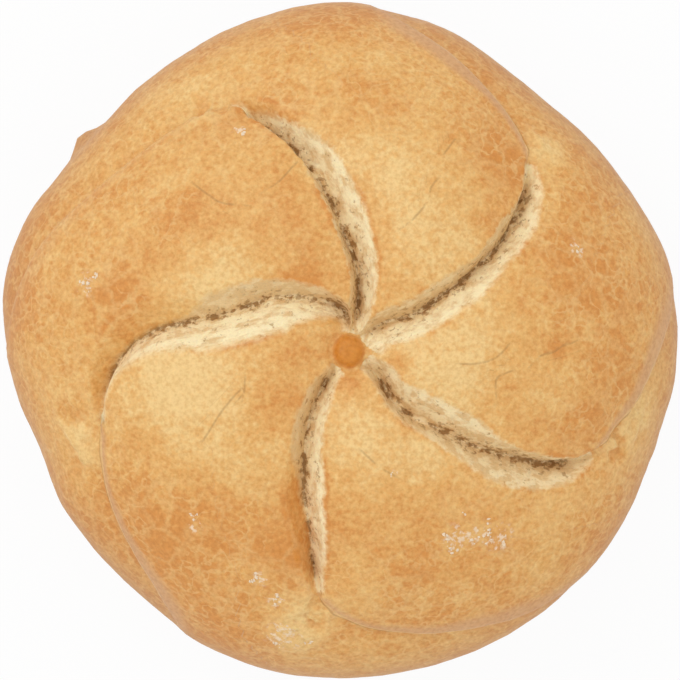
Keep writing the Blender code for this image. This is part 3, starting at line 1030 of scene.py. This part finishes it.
def with_seams(graph, colours, shared, crust):
    """Seams: a smooth dull strip on the petal's side, which widens away from the hub, a pale rim,
    and a thin painted shadow line below it, under the petal's edge. All three waver with the crust's own
    noise."""
    seam_gap, show = graph.attribute("seam_gap"), graph.attribute("seam_show")
    reach = graph.step(shared.from_hub, 41.0, 52.0, 1.5, 4.4)
    band = graph.math("DIVIDE", graph.varied(seam_gap, shared.broad, 3.0), reach)
    band = graph.product(graph.step(band, 1.3, 0.5), graph.step(seam_gap, -0.3, 0.2), 0.9, show)
    crust = graph.mix(band, crust, colours.seam_band)
    shaky = graph.varied(seam_gap, shared.mottle, 0.9)
    rim = graph.step(graph.away_from(shaky, 0.35), 0.5, 0.05)
    rim = graph.product(rim, graph.step(shared.mottle, 0.3, 0.6, 0.25, 0.75), show)
    crust = graph.mix(rim, crust, colours.crust_pale)
    # Painted shadow under the petal's overhanging edge.
    dark = graph.step(graph.away_from(shaky, -0.22), 0.32, 0.05)
    dark = graph.product(dark, graph.step(shared.broad, 0.36, 0.58, 0.2, 1.0), show)
    return graph.over(crust, dark, colours.crumb_deep_and_shade, 0.5)


def with_cracks_and_dust(graph, colours, shared, crust):
    """Hairline cracks, which come and go, and flour dusted in small patches."""
    hair = graph.step(graph.math("ABSOLUTE", graph.attribute("hair_gap")), 0.26, 0.03)
    comes_and_goes = graph.step(shared.mottle, 0.34, 0.52)
    hair = graph.product(hair, graph.attribute("hair_open"), comes_and_goes)
    crust = graph.over(crust, hair, colours.crumb_deep_and_shade, 0.42)
    floury = graph.attribute("floury")
    dusted = graph.step(graph.math("MULTIPLY_ADD", floury, 0.10, shared.freckle), 0.56, 0.70)
    dusted = graph.product(dusted, graph.step(floury, 0.05, 0.5))
    return graph.over(crust, dusted, colours.flour, 0.75)


def torn_crumb(graph, colours, shared, grain):
    """Torn crumb: cream and tan streaks drawn out along the cut, painted shade as tan crumb on the walls
    that face away from the light and near the fissure, and painted shade in the pores and ragged tears.
    Gives its colour, its unevenness as a height, and the mask that says where it shows."""
    edge = graph.varied(graph.attribute("crumb_gap"), shared.freckle, 1.1)
    edge = graph.math("DIVIDE", edge, graph.attribute("crumb_soft"))
    is_crumb = graph.step(edge, 0.55, -0.55)

    drawn = graph.node("ShaderNodeCombineXYZ")
    graph.put(drawn.inputs["X"], graph.math("MULTIPLY", graph.attribute("cut_along"), 0.45 * MM))
    graph.put(drawn.inputs["Y"], graph.math("MULTIPLY", graph.attribute("cut_across"), MM))
    drawn = graph.shifted(drawn.outputs[0], 1.2 * MM, 0.8 * MM)
    streaks = graph.noise(drawn, 1.1 * MM, detail=4.0, roughness=0.62).outputs["Fac"]
    tear_gap = graph.attribute("tear_gap")
    # Painted shade: tan on the walls that face away from the light, and more tan close to the fissure.
    tan_and_shade_share = graph.math("ADD", graph.step(streaks, 0.40, 0.68), graph.attribute("crumb_tan_and_wall_shade"))
    tan_and_shade_share = graph.math("MULTIPLY_ADD", graph.step(tear_gap, 1.6, 0.3), 0.45, tan_and_shade_share)
    crumb = graph.mix(tan_and_shade_share, colours.crumb_light, colours.crumb_tan_and_wall_shade)

    moved = graph.shifted(shared.place, 0.8 * MM, 0.5 * MM)
    blots = graph.noise(moved, 0.9 * MM, detail=3.0, roughness=0.6).outputs["Fac"]
    near = graph.step(tear_gap, 2.2, 0.2)
    # Painted shade in the pores.
    pore = graph.step(graph.math("MULTIPLY_ADD", near, 0.12, blots), 0.62, 0.70)
    crumb = graph.over(crumb, pore, colours.crumb_deep_and_shade, 0.55)
    mixed = graph.math("ADD", graph.math("MULTIPLY", streaks, 0.4), graph.math("MULTIPLY", blots, 0.6))
    # The tears' dark colour is painted shade in the fissure, and partly browner crumb deep in it.
    tear = graph.step(graph.varied(tear_gap, mixed, -4.6), 0.55, 0.0)
    crumb = graph.over(crumb, tear, colours.crumb_deep_and_shade, 0.85)

    coarse = place_group(graph, grain, Place=shared.place, Size=0.35 * MM, Tone_change=0.3)
    height = graph.math("MULTIPLY_ADD", pore, -0.8, graph.math("MULTIPLY", coarse["Height"], 1.6))
    height = graph.math("ADD", height, streaks)
    return tone(graph, crumb, coarse["Tone"]), height, is_crumb


def crust_material(colours, grain, craze):
    """Baked crust with torn crumb in its cuts. The crust's layers are laid over one another, and
    the masks on the mesh say where the crumb starts."""
    material = bpy.data.materials.new("baked_crust")
    material.use_nodes = True
    graph = Graph(material.node_tree)
    shader = material.node_tree.nodes["Principled BSDF"]
    shared = crust_patterns(graph)
    crust = browned_crust(graph, colours, shared)
    crust = with_flank_shade(graph, colours, shared, crust)
    crust, crazed = with_crazing(graph, colours, shared, crust, craze)
    crust = with_folds(graph, colours, crust)
    crust = with_seams(graph, colours, shared, crust)
    crust = with_cracks_and_dust(graph, colours, shared, crust)
    fine = place_group(graph, grain, Place=shared.place, Size=0.6 * MM, Tone_change=0.34)
    crust = tone(graph, crust, fine["Tone"])
    # Painted shade in the hollows of the fine grain.
    hollow_shade = graph.step(fine["Height"], 0.56, 0.36, 0.0, 0.45)
    crust = graph.mix(hollow_shade, crust, HOLLOW_SHADE, blend="MULTIPLY")
    bumps = graph.math("MULTIPLY_ADD", shared.mottle, 0.6, fine["Height"])
    bumps = graph.math("SUBTRACT", bumps, graph.math("MULTIPLY", crazed, 0.25))
    crumb, rough_crumb, is_crumb = torn_crumb(graph, colours, shared, grain)

    graph.put(shader.inputs["Base Color"], graph.mix(is_crumb, crust, crumb))
    graph.put(shader.inputs["Roughness"], graph.step(is_crumb, 0.0, 1.0, 0.52, 0.9))
    shader.inputs["Specular IOR Level"].default_value = 0.35
    shader.inputs["Subsurface Weight"].default_value = 0.12
    shader.inputs["Subsurface Scale"].default_value = 2 * MM
    shader.inputs["Subsurface Radius"].default_value = (1.0, 0.6, 0.35)
    height_mix = graph.node("ShaderNodeMix", data_type="FLOAT")
    graph.put(height_mix.inputs["Factor"], is_crumb)
    graph.put(height_mix.inputs["A"], bumps)
    graph.put(height_mix.inputs["B"], rough_crumb)
    bump = graph.node("ShaderNodeBump")
    graph.put(bump.inputs["Height"], height_mix.outputs[0])
    graph.put(bump.inputs["Strength"], 0.55)
    graph.put(bump.inputs["Distance"], 0.16 * MM)
    graph.put(shader.inputs["Normal"], bump.outputs["Normal"])
    return material


def flour_material(colours, grain):
    """Dry white flour, a little uneven in tone."""
    material = bpy.data.materials.new("dry_flour")
    material.use_nodes = True
    graph = Graph(material.node_tree)
    shader = material.node_tree.nodes["Principled BSDF"]
    fine = place_group(graph, grain, Place=graph.coordinates(), Size=0.2 * MM, Tone_change=0.14)
    graph.put(shader.inputs["Base Color"], tone(graph, colours.flour, fine["Tone"]))
    graph.put(shader.inputs["Roughness"], graph.step(fine["Height"], 0.0, 1.0, 0.85, 1.0))
    shader.inputs["Specular IOR Level"].default_value = 0.2
    return material


def shared_group(name, make):
    """A node group by name, made once."""
    return bpy.data.node_groups.get(name) or make()


# --- Operators ------------------------------------------------------------------------------


class BREADROLL_OT_body(bpy.types.Operator):
    """Make the roll's crust and torn crumb as one closed skin"""

    bl_idname = "bread_roll.body"
    bl_label = "Roll"

    def execute(self, context):
        settings = context.scene
        points, masks, rings, columns = roll_surface(settings.roll_sizes)
        points = fit_to_box(points)
        roll = mesh_object("crusty_roll", points, grid_faces(rings, columns), masks)
        grain = shared_group("Baked grain", grain_group)
        craze = shared_group("Crazing", craze_group)
        roll.data.materials.append(crust_material(settings.roll_colours, grain, craze))
        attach(roll, "root")
        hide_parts(CAD_NODE)
        return {"FINISHED"}


def ball(rows, columns):
    """Points and faces of a small closed ball: rings of points between two poles."""
    rise = np.linspace(0, np.pi, rows + 2)[1:-1]
    turn = np.linspace(0, 2 * np.pi, columns, endpoint=False)
    ring, around = np.meshgrid(rise, turn, indexing="ij")
    points = np.stack([np.sin(ring) * np.cos(around), np.sin(ring) * np.sin(around), np.cos(ring)], -1)
    points = np.concatenate([points.reshape(-1, 3), [[0, 0, 1], [0, 0, -1]]])
    return points, grid_faces(rows, columns)


def speck_places(random):
    """Distances and bearings of the specks. Each cluster has a few clumps at random places about
    its middle, and each speck lies close to one of them."""
    table_s, table_r, _ = section()
    along, bearings = [], []
    for bearing, distance, spread, count in FLOUR_CLUSTERS:
        clumps = random.normal(0, spread * MM, (max(count // 4, 1), 2))
        chosen = clumps[random.integers(0, len(clumps), count)]
        offsets = chosen + random.normal(0, CLUMP_SPREAD, (count, 2))
        along.append(distance * MM + offsets[:, 0])
        ring = np.interp(distance * MM, table_s, table_r)
        bearings.append(bearing + np.degrees(offsets[:, 1] / ring))
    return np.concatenate(along), np.concatenate(bearings)


def speck_points(random, centres, normals, shape, mean_radius):
    """Points of all specks: the ball scaled, stretched and made lumpy at random, then flattened to
    0.45 of its height along the crust's normal."""
    radii = mean_radius * random.uniform(0.4, 1.2, len(centres))
    stretch = random.uniform(0.6, 1.4, (len(centres), 1, 3))
    lumps = 1 + 0.4 * random.uniform(-1, 1, (len(centres), len(shape), 1))
    balls = shape * stretch * lumps * radii[:, None, None]
    upward = (balls * normals[:, None]).sum(-1, keepdims=True) * normals[:, None]
    return centres[:, None] + balls - 0.55 * upward


def settle_on(roll, guesses, normals):
    """Brings each guess onto the roll's own surface, along its normal."""
    settled = []
    for guess, normal in zip(guesses, normals):
        hit, place, _, _ = roll.ray_cast((guess + normal * 6 * MM).tolist(), (-normal).tolist())
        settled.append(place if hit else guess)
    return np.array(settled)


class BREADROLL_OT_flour(bpy.types.Operator):
    """Scatter small clusters of flour specks on the crust"""

    bl_idname = "bread_roll.flour"
    bl_label = "Flour specks"

    def execute(self, context):
        roll = bpy.data.objects.get("crusty_roll")
        if roll is None:
            raise RuntimeError("make the roll before its flour")
        sizes = context.scene.roll_sizes
        random = np.random.default_rng(5)
        along, bearing = speck_places(random)
        plain, normals = skin(along, bearing)
        height, _ = relief(plain, normals, along, bearing, sizes)
        centres = settle_on(roll, plain + normals * height[:, None], normals)
        shape, faces = ball(4, 7)
        points = speck_points(random, centres, normals, shape, sizes.speck_radius)
        all_faces = [
            tuple(corner + first for corner in face)
            for first in range(0, len(centres) * len(shape), len(shape))
            for face in faces
        ]
        flour = mesh_object("flour_specks", points.reshape(-1, 3), all_faces)
        grain = shared_group("Baked grain", grain_group)
        flour.data.materials.append(flour_material(context.scene.roll_colours, grain))
        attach(flour, "root")
        return {"FINISHED"}


class BREADROLL_OT_stage(bpy.types.Operator):
    """Make the white floor, the soft lamps and the camera straight above"""

    bl_idname = "bread_roll.stage"
    bl_label = "Stage"

    def execute(self, context):
        settings = context.scene.stage_settings
        make_floor()
        make_lights(settings)
        make_camera(settings)
        context.scene.view_settings.view_transform = "Standard"
        return {"FINISHED"}


def make_floor():
    """A wide white floor whose camera view is mostly plain white, so that the shadow stays faint."""
    half = FLOOR_HALF
    corners = np.array([(-half, -half, 0), (half, -half, 0), (half, half, 0), (-half, half, 0)])
    floor = mesh_object("floor", corners, [(0, 1, 2, 3)])
    material = bpy.data.materials.new("white_floor")
    material.use_nodes = True
    graph = Graph(material.node_tree)
    tree = material.node_tree
    shader, output = tree.nodes["Principled BSDF"], tree.nodes["Material Output"]
    shader.inputs["Base Color"].default_value = (0.9, 0.9, 0.9, 1)
    shader.inputs["Roughness"].default_value = 0.9
    glow = graph.node("ShaderNodeEmission")
    glow.inputs["Strength"].default_value = 1.0
    path = graph.node("ShaderNodeLightPath")
    seen = graph.math("ADD", path.outputs["Is Camera Ray"], path.outputs["Is Glossy Ray"], clamp=True)
    seen = graph.math("ADD", seen, path.outputs["Is Transmission Ray"], clamp=True)
    blend = graph.node("ShaderNodeMixShader")
    graph.put(blend.inputs[0], graph.math("MULTIPLY", seen, FLOOR_GLOW))
    tree.links.new(shader.outputs[0], blend.inputs[1])
    tree.links.new(glow.outputs[0], blend.inputs[2])
    tree.links.new(blend.outputs[0], output.inputs["Surface"])
    floor.data.materials.append(material)


def make_lights(settings):
    """White light from all round, and one large soft lamp high at the upper left."""
    world = bpy.data.worlds.new("even_white")
    bpy.context.scene.world = world
    world.use_nodes = True
    graph = Graph(world.node_tree)
    back = world.node_tree.nodes["Background"]
    path = graph.node("ShaderNodeLightPath")
    seen = graph.math("ADD", path.outputs["Is Camera Ray"], path.outputs["Is Transmission Ray"], clamp=True)
    graph.put(back.inputs["Strength"], graph.step(seen, 0.0, 1.0, settings.fill_strength, 1.0))
    back.inputs["Color"].default_value = (1, 1, 1, 1)
    lamp = bpy.data.lights.new("key", "AREA")
    lamp.shape = "DISK"
    lamp.size = KEY_WIDTH
    lamp.energy = settings.key_power
    key = bpy.data.objects.new("key", lamp)
    bpy.context.scene.collection.objects.link(key)
    x, y, z = KEY_PLACE
    key.location = KEY_PLACE
    key.rotation_euler = (math.atan2(math.hypot(x, y), z), 0, math.atan2(y, x) + math.pi / 2)


def make_camera(settings):
    """A long lens straight above the roll, with +Y up the picture."""
    lens = bpy.data.cameras.new("overhead")
    lens.sensor_width = 36
    lens.lens = settings.camera_lens
    camera = bpy.data.objects.new("overhead", lens)
    bpy.context.scene.collection.objects.link(camera)
    camera.location = (0, 0, settings.camera_height)
    camera.rotation_euler = (0, 0, 0)
    bpy.context.scene.camera = camera


class BREADROLL_PT_panel(bpy.types.Panel):
    """Lists the roll's sizes, colours and operators"""

    bl_label = "Bread Roll"
    bl_idname = "BREADROLL_PT_panel"
    bl_space_type = "VIEW_3D"
    bl_region_type = "UI"
    bl_category = "Bread Roll"

    def draw(self, context):
        for group in (context.scene.roll_sizes, context.scene.roll_colours, context.scene.stage_settings):
            box = self.layout.box()
            for name in group.__annotations__:
                box.prop(group, name)
        for operator in OPERATORS:
            self.layout.operator(operator.bl_idname)


SETTINGS = {"roll_sizes": RollSizes, "roll_colours": RollColours, "stage_settings": StageSettings}
OPERATORS = (BREADROLL_OT_body, BREADROLL_OT_flour, BREADROLL_OT_stage)
CLASSES = (*SETTINGS.values(), *OPERATORS, BREADROLL_PT_panel)


def register():
    """Registers the classes and hangs the settings on the scene."""
    for item in CLASSES:
        bpy.utils.register_class(item)
    for name, group in SETTINGS.items():
        setattr(bpy.types.Scene, name, bpy.props.PointerProperty(type=group))


def unregister():
    """Takes the settings and the classes away again."""
    for name in SETTINGS:
        delattr(bpy.types.Scene, name)
    for item in reversed(CLASSES):
        bpy.utils.unregister_class(item)


def main():
    """Makes the roll, its flour and the stage."""
    register()
    bpy.ops.bread_roll.body()
    bpy.ops.bread_roll.flour()
    bpy.ops.bread_roll.stage()


if __name__ == "__main__":
    main()
